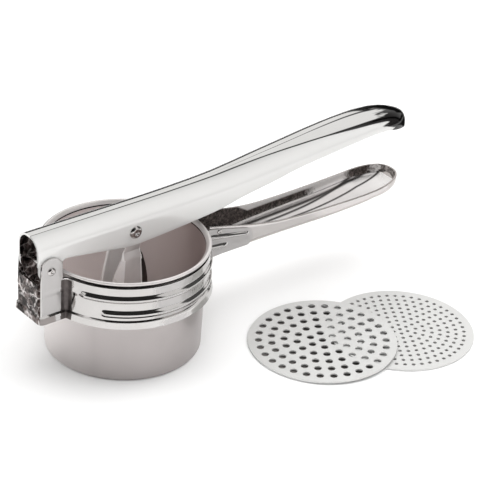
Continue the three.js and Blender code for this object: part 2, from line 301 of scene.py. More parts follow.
def level(tree, value, rows):
    """A value read off straight lines between rows of (place, level)."""
    first, span = rows[0][0], rows[-1][0] - rows[0][0]
    low, high = min(height for _, height in rows), max(height for _, height in rows)
    made = tree.nodes.new("ShaderNodeValToRGB")
    stops = made.color_ramp.elements
    for k, (place, height) in enumerate(rows):
        if k == 0:
            stop = stops[0]
        elif k == len(rows) - 1:
            stop = stops[len(stops) - 1]
        else:
            stop = stops.new((place - first) / span)
        tone = (height - low) / (high - low)
        stop.color = (tone, tone, tone, 1.0)
    tree.links.new(map_range(tree, value, first, first + span, 0.0, 1.0), made.inputs["Fac"])
    return map_range(tree, made.outputs["Color"], 0.0, 1.0, low, high)


def steel(name, light, dark, roughness, grain=EVEN, bump=0.05, cloud=28.0, specks=0.2,
          metal=1.0, flats=None, flat_tone=None, shoulder=False, extra=None):
    """Bare or plated steel: cloudy tone, fine grain in the colour, the gloss and the surface.
    flats is how metallic the upright side walls are where they are duller than the rest,
    flat_tone their colour, painted to the light they show, with painted shade where they lean over,
    and shoulder says that the near one starts up on the crown as a painted highlight, with painted
    dark reflection lines."""
    material = bpy.data.materials.new(name)
    material.use_nodes = True
    tree = material.node_tree
    shader = tree.nodes["Principled BSDF"]
    shader.inputs["Metallic"].default_value = metal
    source = tree.nodes.new("ShaderNodeTexCoord")
    coordinates = source.outputs["Object"]
    clouds = noise(tree, coordinates, EVEN, cloud, 3.0)
    fine = noise(tree, coordinates, grain, GRAIN_SCALE, 2.0)
    colour = mix(tree, map_range(tree, clouds, 0.3, 0.7, 0.0, 1.0), dark, light)
    speck = map_range(tree, fine, 0.35, 0.65, 0.0, specks)
    colour = mix(tree, speck, colour, tuple(c * SPECK_TONE for c in light))
    if extra:
        colour = extra(tree, coordinates, colour)
    if flats is not None:
        parts = tree.nodes.new("ShaderNodeSeparateXYZ")
        tree.links.new(source.outputs["Normal"], parts.inputs["Vector"])
        steep = math_node(tree, "ABSOLUTE", parts.outputs["Y"])
        wall = map_range(tree, steep, WALL_FROM, WALL_FULL, 0.0, 1.0)
        if shoulder:
            x, y, _ = place_parts(tree, coordinates)
            past = math_node(tree, "SUBTRACT", shoulder_path(tree, x), y)
            wall = math_node(tree, "MAXIMUM", wall, map_range(tree, past, 0.0, 0.4, 0.0, 1.0))
        tree.links.new(map_range(tree, wall, 0.0, 1.0, metal, flats), shader.inputs["Metallic"])
        # Painted shade where a side wall leans over
        lying = tuple(c * LEANING_SHADE_TONE for c in flat_tone)
        tone = mix(tree, map_range(tree, steep, 0.0, 1.0, 0.0, 1.0), lying, flat_tone)
        colour = mix(tree, wall, colour, tone)
        if shoulder:
            colour = shoulder_lines(tree, coordinates, colour)
    tree.links.new(colour, shader.inputs["Base Color"])
    gloss = map_range(tree, clouds, 0.25, 0.75, roughness[0], roughness[1])
    tree.links.new(gloss, shader.inputs["Roughness"])
    relief = tree.nodes.new("ShaderNodeBump")
    relief.inputs["Strength"].default_value = bump
    relief.inputs["Distance"].default_value = RELIEF
    tree.links.new(fine, relief.inputs["Height"])
    tree.links.new(relief.outputs["Normal"], shader.inputs["Normal"])
    return material


def shoulder_path(tree, x):
    """Where the near side's matte pale look, a painted highlight, begins: by the crown's middle
    along the arm, and drifting out to its near edge at the grip."""
    return map_range(tree, x, ARM_END, GRIP_START, ARM_LINE, GRIP_LINE, "SMOOTHSTEP")


def shoulder_lines(tree, coordinates, colour):
    """Painted dark reflections: the fine dark lines along the lever's crown and its black end, where the room
    shows in them.
    """
    x, y, _ = place_parts(tree, coordinates)
    streaks = noise(tree, coordinates, (0.12, 1, 1), 420.0, 2.0)
    crown_path = level(tree, x, ((-60, 0.9), (100, 0.8), (150, 1.6), (193, 1.6)))
    shoulder_width = ((-60, 0.2), (20, 0.4), (70, 0.6), (130, 0.35), (193, 1.6))
    shoulder_depth = ((-60, 0.6), (0, 0.9), (193, 1.0))
    crown_width = ((-60, 0.1), (120, 0.2), (193, 1.2))
    crown_depth = ((-60, 0.0), (60, 0.1), (100, 0.8), (193, 1.0))
    for path, width, depth in (
        (shoulder_path(tree, x), shoulder_width, shoulder_depth),
        (crown_path, crown_width, crown_depth),
    ):
        away = math_node(tree, "ABSOLUTE", math_node(tree, "SUBTRACT", y, path))
        inside = math_node(tree, "SUBTRACT", level(tree, x, width), away)
        drawn = map_range(tree, inside, -0.2, 0.1, 0.0, 1.0)
        strength = math_node(tree, "MULTIPLY", drawn, level(tree, x, depth))
        colour = mix(tree, strength, colour, REFLECTED_BLACK)
    # The lever's end: a painted black reflection with a streaked edge
    end = math_node(tree, "ADD", x, math_node(tree, "MULTIPLY", streaks, 36.0))
    return mix(tree, map_range(tree, end, 189.0, 193.0, 0.0, 1.0), colour, REFLECTED_BLACK)


def crinkled(tree, coordinates, colour):
    """Painted broken dark reflections of a crumpled pressing, crossed by painted bright highlights along its
    creases.
    """
    warp = noise(tree, coordinates, EVEN, 210.0, 5.0, 0.6)
    fading = noise(tree, coordinates, EVEN, 170.0, 2.0)
    patches = map_range(tree, warp, 0.44, 0.68, 0.0, 1.0)
    colour = mix(tree, patches, (0.014, 0.010, 0.009), (0.22, 0.18, 0.17))
    bent = tree.nodes.new("ShaderNodeVectorMath")
    bent.operation = "MULTIPLY_ADD"
    tree.links.new(warp, bent.inputs[0])
    bent.inputs[1].default_value = (0.0025, 0.0025, 0.0025)
    tree.links.new(coordinates, bent.inputs[2])
    # Painted highlights along the creases
    for scale, width, strength in ((120.0, 0.075, 1.0), (270.0, 0.07, 0.6)):
        folds = node(tree, "ShaderNodeTexVoronoi", Scale=scale)
        folds.feature = "DISTANCE_TO_EDGE"
        tree.links.new(bent.outputs[0], folds.inputs["Vector"])
        crease = map_range(tree, folds.outputs["Distance"], 0.0, width, strength, 0.0)
        broken = map_range(tree, fading, 0.46, 0.58, 0.0, 1.0)
        colour = mix(tree, math_node(tree, "MULTIPLY", crease, broken), colour, (0.74, 0.70, 0.69))
    return colour


def mottled(tree, coordinates, colour):
    """Painted near-black reflections broken by fine warm speckle, in two stretches of the handle's far wall.
    """
    x, _, z = place_parts(tree, coordinates)
    spots = noise(tree, coordinates, EVEN, 700.0, 5.0, 0.7)
    speckle = map_range(tree, spots, 0.45, 0.72, 0.0, 1.0)
    painted_dark_reflection = mix(tree, speckle, (0.022, 0.016, 0.014), (0.22, 0.18, 0.165))
    edge = math_node(tree, "ADD", x, math_node(tree, "MULTIPLY", spots, 14.0))
    height = math_node(tree, "ADD", z, map_range(tree, x, 72.0, 92.0, -12.0, 0.0))
    below = map_range(tree, height, 46.0, 47.0, 1.0, 0.0)
    stretch = math_node(tree, "MULTIPLY", window(tree, edge, 20.0, 142.0, 9.0), below)
    colour = mix(tree, stretch, colour, painted_dark_reflection)
    return mix(tree, window(tree, edge, 176.0, 188.0, 5.0), colour, painted_dark_reflection)


def satin_outside(tree, coordinates, colour):
    """Painted light: lighter on the left of the cup, as the room is on that side."""
    left = map_range(tree, across_view(tree, coordinates), -43.0, -12.0, 1.0, 0.0)
    return mix(tree, left, colour, (0.78, 0.74, 0.73))


def satin_inside(tree, coordinates, colour):
    """Painted shade: darker towards the right of the cup's bore."""
    right = map_range(tree, across_view(tree, coordinates), -14.0, 40.0, 0.0, 1.0)
    return mix(tree, right, colour, (0.34, 0.27, 0.26))


def creased_floor(tree, coordinates, colour):
    """Painted shade along fine creases that curve across the channel's floor, and painted light towards its
    end.
    """
    x, y, _ = place_parts(tree, coordinates)
    # Painted light towards the channel's end
    colour = mix(tree, map_range(tree, x, 160.0, 182.0, 0.0, 1.0), colour, (0.92, 0.9, 0.89))
    for start, side, bend, width in CREASES:
        run = math_node(tree, "MAXIMUM", math_node(tree, "SUBTRACT", x, start), 0.0)
        swept = math_node(tree, "MULTIPLY", math_node(tree, "POWER", run, 2.0), bend)
        centre = math_node(tree, "ADD", swept, side)
        away = math_node(tree, "ABSOLUTE", math_node(tree, "SUBTRACT", y, centre))
        drawn = map_range(tree, away, 0.3 * width, width, 0.95, 0.0)
        begun = map_range(tree, x, start - 6.0, start + 3.0, 0.0, 1.0)
        line = math_node(tree, "MULTIPLY", drawn, begun)
        colour = mix(tree, line, colour, (0.03, 0.025, 0.024))
    return colour


CHROME = steel("chrome_plate", (0.74, 0.735, 0.725), (0.70, 0.695, 0.685), (0.05, 0.09), bump=0.0,
               specks=0.06, flats=0.1, flat_tone=(0.72, 0.715, 0.705), shoulder=True)
STRAP_STEEL = steel("strap_plate", (0.60, 0.585, 0.575), (0.52, 0.505, 0.495), (0.06, 0.12), bump=0.02,
                    specks=0.1, flats=0.3, flat_tone=(0.47, 0.455, 0.45))
# Painted dark reflections and bright crease highlights on the crumpled end walls
CRINKLED = steel("crinkled_plate", (0.4, 0.4, 0.4), (0.3, 0.3, 0.3), (0.25, 0.45), bump=0.5, extra=crinkled)
# The handle's far wall: painted dark reflections
MOTTLED = steel("mottled_plate", (0.86, 0.83, 0.82), (0.72, 0.69, 0.68), (0.3, 0.4), bump=0.2, metal=0.35,
                extra=mottled)
SHADE = steel("shade_plate", (0.03, 0.025, 0.025), (0.015, 0.012, 0.012), (0.4, 0.5))
# Painted shade in the bends between the strap's ring and its ears
BEND_SHADE = steel("bend_shade_plate", (0.13, 0.115, 0.11), (0.08, 0.07, 0.07), (0.3, 0.4), cloud=300.0)
FOOT_STEEL = steel("foot_plate", (0.34, 0.31, 0.30), (0.26, 0.235, 0.225), (0.25, 0.35), metal=0.7)
HANDLE_STEEL = steel("handle_plate", (0.5, 0.465, 0.45), (0.42, 0.39, 0.375), (0.12, 0.2), bump=0.04,
                     flats=0.5, flat_tone=(0.64, 0.61, 0.60))
FLOOR_STEEL = steel("handle_floor", (0.86, 0.83, 0.82), (0.66, 0.63, 0.62), (0.2, 0.3), bump=0.04,
                    metal=0.6, extra=creased_floor)
SATIN = steel("satin_cup", (0.49, 0.455, 0.45), (0.40, 0.37, 0.365), (0.3, 0.38), (1, 1, 30), 0.06, 18.0,
              extra=satin_outside)
SATIN_INSIDE = steel("satin_inside", (0.88, 0.80, 0.785), (0.80, 0.72, 0.705), (0.35, 0.45), (1, 1, 30), 0.06,
                     18.0, metal=0.2, extra=satin_inside)
RIM_STEEL = steel("rim_plate", (0.70, 0.67, 0.66), (0.62, 0.59, 0.58), (0.3, 0.4), metal=0.4)
YOKE_STEEL = steel("yoke_plate", (0.95, 0.93, 0.92), (0.84, 0.81, 0.80), (0.2, 0.3), (30, 30, 1), 0.05,
                   metal=0.1)
# Painted half shade on the outer web of each yoke arm
YOKE_WEB_SHADE = steel("yoke_web_shade", (0.74, 0.70, 0.69), (0.50, 0.47, 0.46), (0.2, 0.3), (30, 30, 1), 0.05, 40.0,
                 metal=0.2)
YOKE_SHADE = steel("yoke_shade", (0.10, 0.085, 0.08), (0.04, 0.034, 0.032), (0.25, 0.35), cloud=90.0)
RIVET_STEEL = steel("rivet_plate", (0.7, 0.68, 0.67), (0.35, 0.33, 0.32), (0.12, 0.25), bump=0.15,
                    cloud=700.0)
SIEVE_STEEL = steel("sieve_plate", (0.69, 0.69, 0.68), (0.65, 0.65, 0.64), (0.4, 0.48), (40, 3, 1), 0.04,
                    metal=0.3)


def paint(obj, material, *zones):
    """One material all over, and others where a zone's test of (place, normal) holds."""
    obj.data.materials.clear()
    obj.data.materials.append(material)
    for other, holds in zones:
        obj.data.materials.append(other)
        for face in obj.data.polygons:
            if holds((face.center - AXIS) / MM, face.normal):
                face.material_index = len(obj.data.materials) - 1


def finish_piece(obj, body, nodes, material=None):
    if material:
        paint(obj, material)
    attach(obj, body)
    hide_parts(*nodes)
    return obj


# ------------------------------------------------------------------ press cup
def arc(cx, cz, radius, start, end, count):
    """Points of an arc; angles in degrees from the outward direction."""
    return [
        (cx + radius * math.cos(math.radians(a)), cz + radius * math.sin(math.radians(a)))
        for a in steps(start, end, count)
    ]


def make_cup():
    bead_r, bead_z = RIM_RADIUS - RIM_BEAD, CUP_HEIGHT - RIM_BEAD
    bore = CUP_TOP_RADIUS - CUP_WALL
    foot = 1.6
    profile = (
        [(LEDGE_RADIUS, 0.0), (CUP_BASE_RADIUS - foot, 0.0)]
        + arc(CUP_BASE_RADIUS - foot, foot, foot, -75, 0, 5)
        + [(CUP_BASE_RADIUS + 0.4, 16.0), (CUP_TOP_RADIUS - 0.7, 34.0), (CUP_TOP_RADIUS, bead_z - 2.2)]
        + [(CUP_TOP_RADIUS + 0.2, bead_z - 1.0), (CUP_TOP_RADIUS + 0.7, bead_z - 0.8)]
        + arc(bead_r, bead_z, RIM_BEAD, -50, 150, 14)
        + [(bore, bead_z - 0.9), (bore, bead_z - 1.7)]
        + [(bore - 0.1, bead_z - 3.0), (CUP_BASE_RADIUS - CUP_WALL, 3.0)]
        + arc(CUP_BASE_RADIUS - CUP_WALL - 1.2, 2.4, 1.2, 0, -90, 4)
        + [(LEDGE_RADIUS, 1.2)]
    )
    cup = turned("cup_shell", profile, 180, sharp=50)

    def radius(p):
        return math.hypot(p.x, p.y)

    def facing(p, n):
        """How far a face looks away from the axis."""
        return n.x * p.x + n.y * p.y

    def under_bead(p, n):
        in_band = CUP_HEIGHT - 5.0 < p.z < min(CUP_HEIGHT - 1.5, bead_z - 0.4)
        return in_band and radius(p) > CUP_TOP_RADIUS - 0.5 and facing(p, n) > 0 and n.z < 0.2

    def far_bead(p, n):
        return p.z > bead_z and facing(p, n) > 0.2 * radius(p) and n.z > 0.3 and p.y - 0.5 * p.x > 18

    paint(
        cup, SATIN,
        (SATIN_INSIDE, lambda p, n: facing(p, n) < 0 and p.z > 1.0),
        (RIM_STEEL, lambda p, n: p.z > bead_z - RIM_BEAD and radius(p) > CUP_TOP_RADIUS - 1.2),
        (SHADE, under_bead),
        (SHADE, lambda p, n: bead_z - 1.7 < p.z < bead_z - 0.9 and facing(p, n) < 0),
        (SHADE, far_bead),
    )
    return finish_piece(cup, "frame", ["press_cup"])


# ------------------------------------------------------------------ strap round the cup
LOW_RIB, HIGH_RIB = 42.6, 51.3
RIB_DEPTH, RIB_HALF = 1.4, 2.3
FOOT, FOOT_HEIGHT, FOOT_STEP = 2.0, 4.0, 1.2
FILLET, CORNER = 3.0, 1.5
WALL_TOP, WALL_FOOT = 57.0, 0.3
EAR_RIB = 0.16                           # how much of the high rib runs on into the ears
TAB_BOTTOM, TAB_TOP = 41.2, 58.4
TAB_LEVEL_END, TAB_SLOPE = 48.5, 6.8 / 26.5
TAB_CORNER, TAB_DROP = 3.5, 3.2


def strap_half():
    """Stations of half the strap, from the handle tab round the cup to the end wall's middle."""
    stations = []

    def add(x, y, nx, ny, part, along):
        stations.append({"x": x, "y": y, "n": (nx, ny), "part": part, "along": along})

    reach_out = STRAP_RADIUS + FILLET
    tab_x = math.sqrt(reach_out ** 2 - (TAB_Y + FILLET) ** 2)
    for x in [TAB_END - 0.3 * k for k in range(12)] + steps(TAB_END - 4.5, tab_x + 0.3, 24):
        add(x, -TAB_Y, 0, -1, "tab", x)
    turn = math.degrees(math.atan2(TAB_Y + FILLET, tab_x))
    for a in steps(90, 180 - turn, 8):
        c, s = math.cos(math.radians(a)), math.sin(math.radians(a))
        add(tab_x + FILLET * c, -TAB_Y - FILLET + FILLET * s, -c, -s, "tab_bend", a)
    ear_x = math.sqrt(reach_out ** 2 - (EAR_Y + FILLET) ** 2)
    ear_turn = math.degrees(math.atan2(EAR_Y + FILLET, ear_x))
    for a in steps(-turn - 1, -180 + ear_turn + 1, 110):
        c, s = math.cos(math.radians(a)), math.sin(math.radians(a))
        add(STRAP_RADIUS * c, STRAP_RADIUS * s, c, s, "ring", -a)
    for a in steps(ear_turn, 90, 8):
        c, s = math.cos(math.radians(a)), math.sin(math.radians(a))
        add(-ear_x + FILLET * c, -EAR_Y - FILLET + FILLET * s, -c, -s, "ear_bend", a)
    wall_x = PIVOT.x - EAR_RADIUS + SHEET / 2
    for t in steps(0, 1, 26)[1:]:
        add(-ear_x + (wall_x + CORNER + ear_x) * t, -EAR_Y, 0, -1, "ear", t)
    for a in steps(-90, -180, 8)[1:]:
        c, s = math.cos(math.radians(a)), math.sin(math.radians(a))
        add(wall_x + CORNER + CORNER * c, -EAR_Y + CORNER + CORNER * s, c, s, "corner", a)
    for t in steps(0, 1, 8)[1:]:
        add(wall_x, (-EAR_Y + CORNER) * (1 - t), -1, 0, "wall", t)
    return stations


def strap_shape(s):
    """Bottom, shoulder and top heights of a station, and how strongly it is pressed."""
    part, along, x = s["part"], s["along"], s["x"]
    bottom, shoulder, top = STRAP_BOTTOM + 0.3, STRAP_TOP, STRAP_TOP
    low_rib, high_rib, foot = 1.0, 1.0, 1.0
    if part in ("tab", "tab_bend"):
        bend = 1.0 if part == "tab" else ramp(160, 95, along)
        bottom += (TAB_BOTTOM - STRAP_BOTTOM) * bend
        if part == "tab":
            shoulder = top = TAB_TOP - TAB_SLOPE * max(x - TAB_LEVEL_END, 0)
            past = min(max((x - TAB_END + TAB_CORNER) / TAB_CORNER, 0), 1)
            drop = TAB_DROP * (1 - math.sqrt(1 - past ** 2))
            shoulder = top = top - drop
            bottom += drop * 1.5
            low_rib = ramp(60, 56, x)
            high_rib = ramp(TAB_END - 2.0, TAB_END - 5.5, x)
        foot = 1 - bend
    elif part == "ring":
        low_rib = ramp(141, 137, along)
        high_rib = max(ramp(157, 150, along), EAR_RIB)
    else:
        low_rib, high_rib = 0.0, 0.0 if part == "wall" else EAR_RIB
    if part in ("ear", "corner"):
        across = max(EAR_RADIUS ** 2 - (x - PIVOT.x) ** 2, 0)
        top = PIVOT.z + math.sqrt(across)
    if part == "corner":
        top = STRAP_TOP + 0.05 + (top - STRAP_TOP) * ramp(-130, -95, along)
    if part in ("wall", "corner"):
        foot = WALL_FOOT if part == "wall" else ramp(-180, -90, along) * (1 - WALL_FOOT) + WALL_FOOT
    if part == "wall":
        shoulder = top = WALL_TOP
    return bottom, shoulder, top, low_rib, high_rib, foot


def make_strap():
    near = strap_half()
    far = [{**s, "y": -s["y"], "n": (s["n"][0], -s["n"][1])} for s in reversed(near[:-1])]
    stations = near + far
    tall = STRAP_TOP - STRAP_BOTTOM
    fractions = [(z - STRAP_BOTTOM) / tall for z in steps(STRAP_BOTTOM, STRAP_TOP, 66)]
    crown = steps(0, 1, 8)[1:]
    points = []
    for s in stations:
        bottom, shoulder, _, low_rib, high_rib, foot = strap_shape(s)
        heights = [bottom + f * (shoulder - bottom) for f in fractions]
        for f, z in zip(fractions, heights):
            nominal = STRAP_BOTTOM + f * tall
            out = 0.0
            for centre, weight in ((LOW_RIB, low_rib), (HIGH_RIB, high_rib)):
                away = min(abs(nominal - centre) / RIB_HALF, 1.0)
                out += weight * RIB_DEPTH * math.cos(away * math.pi / 2) ** 2
            below = STRAP_BOTTOM + FOOT_HEIGHT - nominal
            flare = (FOOT - FOOT_STEP) * max(below, 0) / FOOT_HEIGHT
            out += foot * (FOOT_STEP * ramp(0, 0.9, below) + flare)
            points.append((s["x"] + out * s["n"][0], s["y"] + out * s["n"][1], z))
    columns = len(fractions)
    faces = grid_faces(len(stations), columns)
    for i, s in enumerate(stations):
        if s["part"] not in ("ear", "corner"):
            continue
        _, shoulder, top, *_ = strap_shape(s)
        s["crown"] = [i * columns + columns - 1]
        for g in crown:
            s["crown"].append(len(points))
            points.append((s["x"], s["y"], shoulder + g * (top - shoulder)))
    for a, b in zip(stations, stations[1:]):
        if "crown" in a and "crown" in b:
            for k in range(len(crown)):
                faces.append((a["crown"][k], b["crown"][k], b["crown"][k + 1], a["crown"][k + 1]))
    strap = make_object("strap_sheet", points, faces)
    thicken(strap, edge=0.3, sharp=32)
    bend = stations[[s["part"] for s in stations].index("ear_bend")]
    bend_x, bend_y = bend["x"] + FILLET * bend["n"][0], bend["y"] + FILLET * bend["n"][1]
    end_wall = PIVOT.x - EAR_RADIUS + 1.0

    def in_bend(p, n):
        return math.hypot(p.x - bend_x, abs(p.y) - abs(bend_y)) < FILLET - 0.2 and p.z < 57.2

    paint(
        strap, STRAP_STEEL,
        (CRINKLED, lambda p, n: p.x < end_wall and abs(n.x) > 0.6),
        (CRINKLED, lambda p, n: p.x < end_wall + 14 and abs(p.y) < EAR_Y and n.y * p.y < 0),
        # Painted shade along the bend between ring and ear
        (BEND_SHADE, in_bend),
        (FOOT_STEEL, lambda p, n: p.x < end_wall + 8.0 and p.z < STRAP_BOTTOM + 3.6 and abs(n.y) > 0.6),
    )
    return finish_piece(strap, "frame", ["holder_strap"])


# ------------------------------------------------------------------ pressed channels
def channel(name, start, tip_start, tip_end, shape, side, bend, body, slot, replaced, material, *zones):
    """A rounded channel with a closed tip. shape(x) gives its half width, the heights of its
    crown and edge, and how far each of these two turns at the tip; side is +1 where the crown
    is on top and -1 where it is the floor; bend is the radius between crown and walls."""
    wall_steps, arch_steps, tip_steps = 5, 22, 16
    lip_height = 0.42
    stations = [(x, 0.0) for x in start]
    stations += [(tip_start, math.radians(a)) for a in steps(0, 90, tip_steps)[1:]]

    def skin(inset):
        rows = []
        for x, angle in stations:
            half, crown, edge, drop, curl = shape(x)
            half -= inset
            crown -= side * inset
            if angle:
                x = tip_start + (tip_end - inset - tip_start) * math.sin(angle)
                half *= max(math.cos(angle), 0.0) ** 0.8
                crown -= side * drop * (1 - math.cos(angle))
                edge += curl * math.sin(angle)
            half = max(half, 0.0)
            radius = min(bend - inset, half * 0.92, abs(crown - edge) * 0.9)
            spring = crown - side * radius
            lip = edge + side * lip_height
            row = [(x, half, lip + (spring - lip) * k / wall_steps) for k in range(wall_steps)]
            for a in steps(90, -90, arch_steps):
                s, c = math.sin(math.radians(a)), math.cos(math.radians(a))
                flat = (half - radius) * max(min(a / 6.0, 1.0), -1.0)
                row.append((x, radius * s + flat, spring + side * radius * c))
            row += [(x, -p[1], p[2]) for p in reversed(row[:wall_steps])]
            rows.append(row)
        return rows

    outer, inner = skin(0.0), skin(SHEET)
    points, ring = [], 0
    for out_row, in_row in zip(outer, inner):
        edges = []
        for a, b in ((out_row[-1], in_row[-1]), (in_row[0], out_row[0])):
            below = -side * lip_height
            for t, depth in ((0.12, 0.72), (0.5, 1.0), (0.88, 0.72)):
                edges.append((a[0] + (b[0] - a[0]) * t, a[1] + (b[1] - a[1]) * t, a[2] + below * depth))
        row = out_row + edges[:3] + in_row[::-1] + edges[3:]
        ring = len(row)
        points += row
    faces = grid_faces(len(outer), ring, closed_columns=True)
    n = len(outer[0])
    inner_first = n + 3
    for j in range(n - 1):
        faces.append((j, j + 1, inner_first + n - 2 - j, inner_first + n - 1 - j))
    faces.append((n - 1, n, n + 1, n + 2, inner_first))
    faces.append((inner_first + n - 1, inner_first + n, inner_first + n + 1, inner_first + n + 2, 0))
    obj = make_object(name, points, faces)
    weld_and_orient(obj.data)
    obj.data.set_sharp_from_angle(angle=math.radians(42))
    paint(obj, material, *zones)
    return finish_piece(obj, body, replaced)


def make_lever():
    straight_end = 172.0
    half = [
        (-46, 9.3), (4, 9.3), (28, 9.4), (56, 10.0), (90, 11.0), (130, 12.1), (152, 12.5), (172, 12.3),
    ]
    crown = [
        (-60, 83.0), (4, 83.3), (28, 83.6), (56, 84.4), (72, 85.7), (90, 87.6), (110, 89.6), (130, 91.6),
        (148, 92.9), (162, 93.2), (172, 92.6),
    ]
    edge = [
        (-46.2, 68.8), (-24, 65.5), (-4, 62.7), (4, 62.6), (28, 64.3), (56, 67.7), (72, 71.4), (90, 74.6),
        (110, 78.6), (130, 81.2), (148, 83.4), (162, 84.6), (172, 84.6),
    ]
    heel = 67.5
    crown_drop, edge_rise = 6.6, -4.4
    lug = 6.6
    lug_x = [PIVOT.x - lug * math.cos(math.radians(a)) for a in steps(0, 180, 20)]

    def shape(x):
        if abs(x - PIVOT.x) <= lug + 1e-6:
            low = PIVOT.z - math.sqrt(max(lug ** 2 - (x - PIVOT.x) ** 2, 0.0))
        elif x < PIVOT.x:
            low = heel
        else:
            low = smooth(edge, x) - 2.6 * ramp(-43, -46.7, x)
        return smooth(half, x), smooth(crown, x), low, crown_drop, edge_rise

    start = [LEVER_START, PIVOT.x - lug - 0.02] + lug_x
    start += [PIVOT.x + lug + 0.02] + steps(-46.2, -40, 6) + steps(-37, straight_end, 84)
    return channel(
        "lever_sheet", start, straight_end, LEVER_TIP, shape, 1, 8.4,
        "lever", "chrome", ["upper_lever"], CHROME,
        (CRINKLED, lambda p, n: p.x < -30 and n.y * p.y + n.z * (p.z - 72) < 0 and p.z < 82.5))


def make_handle():
    straight_end = 166.0
    floor_rise, edge_rise = 3.6, 2.2
    rows = [                             # place, half width, floor, edge
        (48, 11.3, 37.6, 59.6), (62, 11.3, 38.6, 56.2), (78, 11.6, 39.5, 52.4), (94, 12.3, 40.1, 49.8),
        (114, 13.1, 40.5, 48.7), (134, 13.8, 40.8, 48.4), (156, 14.4, 41.9, 48.6), (166, 14.4, 42.9, 49.0),
    ]
    half, floor, edge = ([(row[0], row[k]) for row in rows] for k in (1, 2, 3))

    def shape(x):
        return smooth(half, x), smooth(floor, x), smooth(edge, x), floor_rise, edge_rise

    return channel(
        "handle_sheet", steps(HANDLE_START, straight_end, 60), straight_end, HANDLE_TIP, shape, -1, 4.0,
        "frame", "bright_steel", ["lower_handle"], HANDLE_STEEL,
        (FLOOR_STEEL, lambda p, n: n.z > 0.5 and p.z < 46.5),
        # The far wall's inner face: painted dark reflections
        (MOTTLED, lambda p, n: n.y < -0.6 and p.y > 5))


# ------------------------------------------------------------------ plunger
DENT_Z, DENT_HALF, DENT_DEPTH = 57.5, 4.0, 1.6
YOKE_GAP = 0.5                           # from each arm to the lever's wall
YOKE_BASE_HALF, YOKE_BASE_FLANGE = 14.6, 7.0
WEB_SHARE, FLANGE_LEAN = 0.08, 0.45


def make_yoke():
    middle = LEVER_HALF - SHEET - YOKE_GAP - SHEET / 2
    web = [(7, 7.0), (24, 6.2), (42, 5.2), (55, 4.6), (61, 4.3), (PIN.z, 4.2)]
    flange = [(7, 7.6), (24, 7.0), (42, 5.4), (52, 2.6), (58, 0.7), (PIN.z, 0.3)]
    eye, bend = 4.4, 2.0
    base_z = YOKE_BASE + SHEET / 2
    rows = []
    for a in steps(70, 8, 8):
        z = PIN.z + eye * math.sin(math.radians(a))
        rows.append((-middle, z, -1, 0, eye * math.cos(math.radians(a)), 0.0))
    for z in steps(PIN.z - 1, base_z + bend, 60):
        dent = DENT_DEPTH * max(1 - abs(z - DENT_Z) / DENT_HALF, 0)
        rows.append((-middle + dent, z, -1, 0, smooth(web, z), smooth(flange, z)))
    for a in steps(0, 90, 6)[1:]:
        c, s = math.cos(math.radians(a)), math.sin(math.radians(a))
        width = YOKE_BASE_HALF + 0.4 * c
        turned_up = YOKE_BASE_FLANGE * c
        y, z = -middle + bend - bend * c, base_z + bend - bend * s
        rows.append((y, z, -c, -s, width - turned_up, turned_up))
    for y in steps(-middle + bend, 0, 6)[1:]:
        rows.append((y, base_z, 0, -1, YOKE_BASE_HALF, 0.0))
    rows += [(-y, z, -ny, nz, w, f) for y, z, ny, nz, w, f in reversed(rows[:-1])]
    across = [-1.0, -0.75, -0.5, -0.25, -WEB_SHARE, WEB_SHARE, 0.25, 0.5, 0.75, 1.0]
    points = []
    for y, z, ny, nz, w, f in rows:
        for t in across:
            out = f * (abs(t) - WEB_SHARE) / (1 - WEB_SHARE)
            fold = FLANGE_LEAN * out
            points.append((math.copysign(w + out, t), y - ny * fold, z - nz * fold))
    yoke = make_object("yoke_sheet", points, grid_faces(len(rows), len(across)))
    thicken(yoke, edge=0.25, sharp=30)

    def outside(p, n):
        return n.y * p.y > 0 and YOKE_BASE + 4 < p.z

    paint(
        yoke, YOKE_STEEL,
        # The web: painted half shade
        (YOKE_WEB_SHADE, lambda p, n: outside(p, n) and abs(p.x) < smooth(web, p.z) + 0.4),
        (YOKE_SHADE, lambda p, n: outside(p, n) and p.x > smooth(web, p.z) + 1.1),
        (YOKE_SHADE, lambda p, n: outside(p, n) and DENT_Z - 2.0 < p.z < DENT_Z + 1.5 and 0.2 < p.x < 2.2),
    )
    return finish_piece(yoke, "plunger", ["plunger_yoke"])


def make_plate():
    low, r = PLATE_BOTTOM, PLATE_RADIUS
    profile = (
        [(0.0, low), (r - 1.6, low)] + arc(r - 1.6, low + 1.6, 1.6, -80, 0, 6)
        + arc(r - SHEET / 2, low + 2.5, SHEET / 2 - 0.05, 10, 170, 5)
        + arc(r - 2.3, low + 2.3, 1.1, 0, -90, 4)
        + [(20.0, low + SHEET), (0.0, low + SHEET)]
    )
    plate = turned("plate_dish", profile, 128)
    return finish_piece(plate, "plunger", ["press_plate"], YOKE_STEEL)


# ------------------------------------------------------------------ rivets
def rivet(name, head, low, high, shaft, centre, upright, body, replaced):
    """A semi-tubular rivet: a shaft between two low domes, each with a rolled dimple."""
    dome = head * 0.42
    side = [
        (shaft, high - 0.2), (shaft, high), (head * 0.94, high), (head, high + dome * 0.22),
        (head * 0.9, high + dome * 0.62), (head * 0.68, high + dome * 0.92), (head * 0.5, high + dome),
        (head * 0.34, high + dome * 0.86), (head * 0.24, high + dome * 0.62), (0.0, high + dome * 0.55),
    ]
    other = [(r, low + high - z) for r, z in reversed(side)]
    points, columns, segments = [], len(side) * 2, 36
    for i in range(segments):
        a = 2 * math.pi * i / segments
        for r, h in other + side:
            u, v = r * math.cos(a), r * math.sin(a)
            offset = (u, v, h) if upright else (u, h, v)
            points.append(tuple(c + o for c, o in zip(centre, offset)))
    obj = make_object(name, points, grid_faces(segments, columns, True, False))
    weld_and_orient(obj.data)
    obj.data.set_sharp_from_angle(angle=math.radians(55))
    return finish_piece(obj, body, [replaced], RIVET_STEEL)


TAB_RIVET_X, TAB_RIVET_Z = 53.5, 56.0
PLATE_RIVET_X = 9.0


